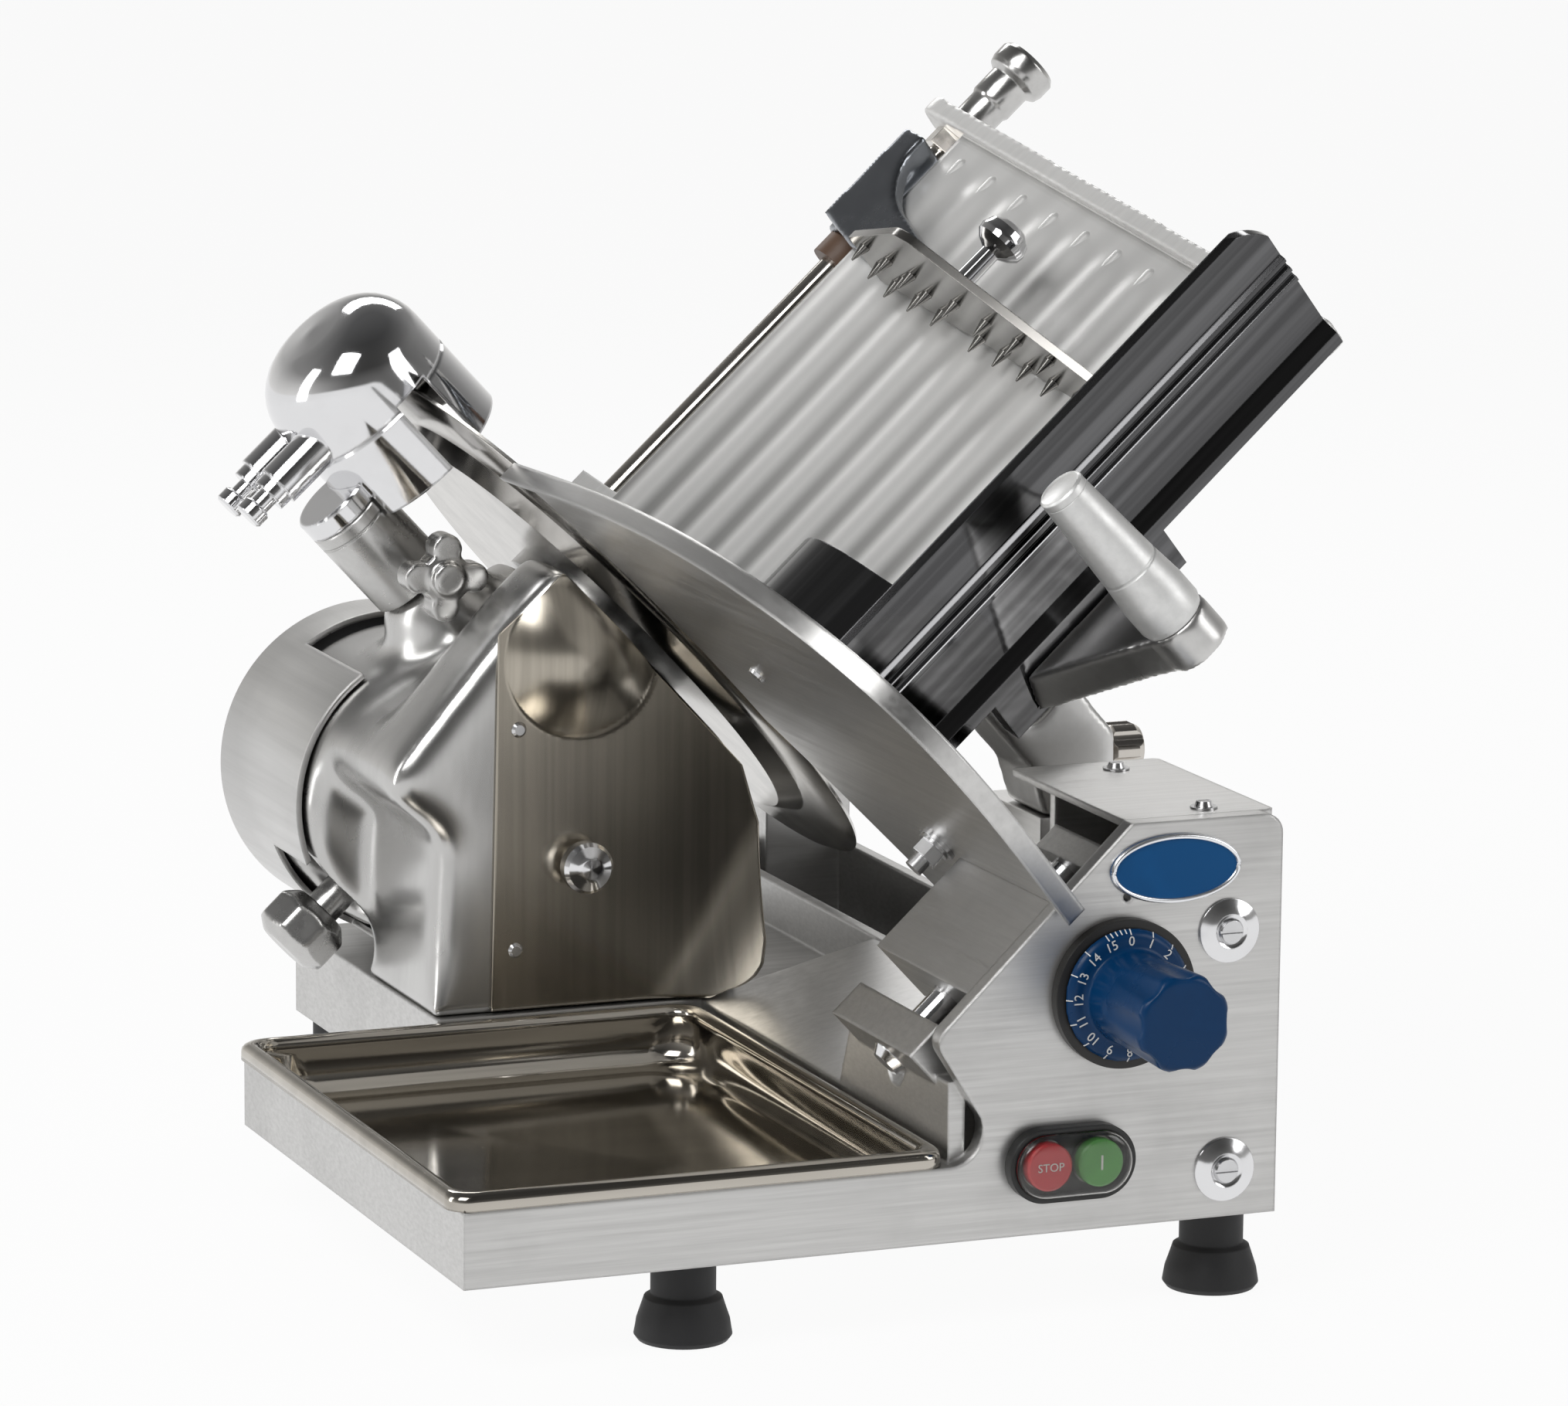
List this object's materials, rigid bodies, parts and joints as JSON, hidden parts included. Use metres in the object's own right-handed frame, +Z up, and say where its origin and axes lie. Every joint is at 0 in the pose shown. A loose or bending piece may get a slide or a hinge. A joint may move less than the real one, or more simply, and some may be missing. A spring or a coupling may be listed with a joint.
{
  "type": "electric food slicer",
  "caption": "Gravity-feed electric food slicer with a slanted round knife, sliding product chute, pusher, thickness dial and top sharpener.",
  "frame": {"origin": "on the floor, in the middle of the machine's overall length and width", "axes": "+X to the right of somebody facing the dial, +Y from the dial to the motor end, +Z up; the knife's plane leans back 43 degrees from upright"},
  "size_m": [0.4204, 0.6, 0.4731],
  "materials": {
    "cast_alloy": "brushed, anodised",
    "polished_alloy": "polished",
    "stainless": "mirror to fine satin",
    "chrome_parts": "bright chrome",
    "steel_parts": "machined",
    "iron_core": "bare laminations",
    "bronze": "oiled bearing bronze",
    "brown_bush": "moulded",
    "rubber_black": "matte",
    "black_plastic": "fine matte",
    "blue_plastic": "semi-gloss",
    "red_plastic": "gloss",
    "green_plastic": "gloss"
  },
  "bodies": {
    "base": {"base_casting": "cast_alloy", "bottom_sheet": "stainless", "box_cover": "cast_alloy", "cover_screws": "steel_parts", "rubber_feet": "rubber_black", "foot_studs": "steel_parts", "badge_plate": "blue_plastic", "dial_ring": "black_plastic", "guide_bar": "steel_parts", "carriage_rods": "chrome_parts", "rod_end_discs": "chrome_parts", "rod_end_screws": "steel_parts", "column_casting": "cast_alloy", "shaft_bearings": "steel_parts", "knife_cover": "stainless", "motor_cover": "cast_alloy", "motor_stator": "iron_core", "slice_deflector": "stainless", "deflector_rivets": "steel_parts", "sharpener_post": "cast_alloy", "switch_plate": "black_plastic"},
    "dial": {"dial_knob": "blue_plastic", "dial_shaft": "steel_parts", "index_cam": "cast_alloy"},
    "gauge": {"gauge_plate": "cast_alloy", "gauge_carrier": "cast_alloy", "gauge_bolts": "steel_parts", "cam_follower": "steel_parts"},
    "carriage": {"slide_block": "cast_alloy", "slide_bushes": "bronze", "chute_arm": "cast_alloy", "chute_table": "cast_alloy", "chute_end_bar": "cast_alloy", "chute_fence": "polished_alloy", "thumb_guard": "polished_alloy", "handle_bracket": "cast_alloy", "handle_grip": "cast_alloy", "handle_cap": "cast_alloy", "slide_rod": "chrome_parts", "rod_knob": "polished_alloy"},
    "lock": {"lock_knob": "chrome_parts"},
    "pusher_slider": {"pusher_bush": "brown_bush"},
    "pusher": {"pusher_arm": "cast_alloy", "pusher_plate": "polished_alloy", "pusher_knob": "chrome_parts"},
    "knife": {"knife": "stainless", "knife_shaft": "steel_parts", "crown_gear": "steel_parts"},
    "rotor": {"motor_rotor": "iron_core"},
    "tie": {"tie_rod": "steel_parts", "tie_knob": "polished_alloy"},
    "clamp": {"star_knob": "polished_alloy"},
    "sharpener": {"sharpener_housing": "chrome_parts", "sharpener_stem": "chrome_parts"},
    "plunger_front": {"front_plunger": "chrome_parts"},
    "plunger_rear": {"rear_plunger": "chrome_parts"},
    "start": {"start_button": "green_plastic"},
    "stop": {"stop_button": "red_plastic"},
    "tray": {"catch_tray": "stainless"},
    "deflector_clamp": {"deflector_knob": "chrome_parts"}
  },
  "joints": [
    {"name": "dial_turn", "type": "hinge", "parent": "base", "child": "dial", "pos_m": [0.0695, -0.26, 0.1327], "axis": [0, -1, 0], "range_deg": [0, 300]},
    {"name": "gauge_slide", "type": "slide", "parent": "base", "child": "gauge", "axis": [-0.7314, 0, -0.682], "range_m": [0, 0.015]},
    {"name": "carriage_slide", "type": "slide", "parent": "base", "child": "carriage", "axis": [0, 1, 0], "range_m": [-0.025, 0.235]},
    {"name": "lock_turn", "type": "hinge", "parent": "carriage", "child": "lock", "pos_m": [0.133, -0.073, 0.195], "axis": [1, 0, 0], "range_deg": [-90, 90]},
    {"name": "pusher_slide", "type": "slide", "parent": "carriage", "child": "pusher_slider", "axis": [0.7314, 0, 0.682], "range_m": [-0.11, 0.004]},
    {"name": "pusher_swing", "type": "hinge", "parent": "pusher_slider", "child": "pusher", "pos_m": [0.08585, 0.1045, 0.378], "axis": [-0.7314, 0, -0.682], "range_deg": [0, 100]},
    {"name": "knife_spin", "type": "hinge", "parent": "base", "child": "knife", "pos_m": [-0.00086, 0.15, 0.22318], "axis": [0.7314, 0, 0.682], "continuous": true},
    {"name": "rotor_spin", "type": "hinge", "parent": "base", "child": "rotor", "pos_m": [-0.08022, 0.217, 0.14918], "axis": [0, 1, 0], "continuous": true},
    {"name": "tie_turn", "type": "hinge", "parent": "base", "child": "tie", "pos_m": [-0.00086, 0.15, 0.22318], "axis": [0.7314, 0, 0.682], "range_deg": [-180, 180]},
    {"name": "clamp_turn", "type": "hinge", "parent": "base", "child": "clamp", "pos_m": [-0.09499, 0.1, 0.25299], "axis": [0, -1, 0], "range_deg": [-90, 90]},
    {"name": "sharpener_lift", "type": "slide", "parent": "base", "child": "sharpener", "axis": [-0.682, 0, 0.7314], "range_m": [0, 0.05]},
    {"name": "front_plunger_push", "type": "slide", "parent": "sharpener", "child": "plunger_front", "axis": [0.7314, 0, 0.682], "range_m": [0, 0.005], "stiffness_N_per_m": 300},
    {"name": "rear_plunger_push", "type": "slide", "parent": "sharpener", "child": "plunger_rear", "axis": [0.7314, 0, 0.682], "range_m": [0, 0.005], "stiffness_N_per_m": 300},
    {"name": "start_press", "type": "slide", "parent": "base", "child": "start", "axis": [0, 1, 0], "range_m": [0, 0.0025], "stiffness_N_per_m": 400},
    {"name": "stop_press", "type": "slide", "parent": "base", "child": "stop", "axis": [0, 1, 0], "range_m": [0, 0.0025], "stiffness_N_per_m": 400},
    {"name": "tray_lift", "type": "slide", "parent": "base", "child": "tray", "axis": [0, 0, 1], "range_m": [0, 0.012]},
    {"name": "deflector_clamp_turn", "type": "hinge", "parent": "base", "child": "deflector_clamp", "pos_m": [-0.056, 0.036, 0.138], "axis": [0, -1, 0], "range_deg": [-90, 90]}
  ],
  "couplings": [
    {"joint": "dial_turn", "follows": "gauge_slide", "rad_per_m": 349.07},
    {"joint": "rotor_spin", "follows": "knife_spin", "ratio": -3}
  ]
}
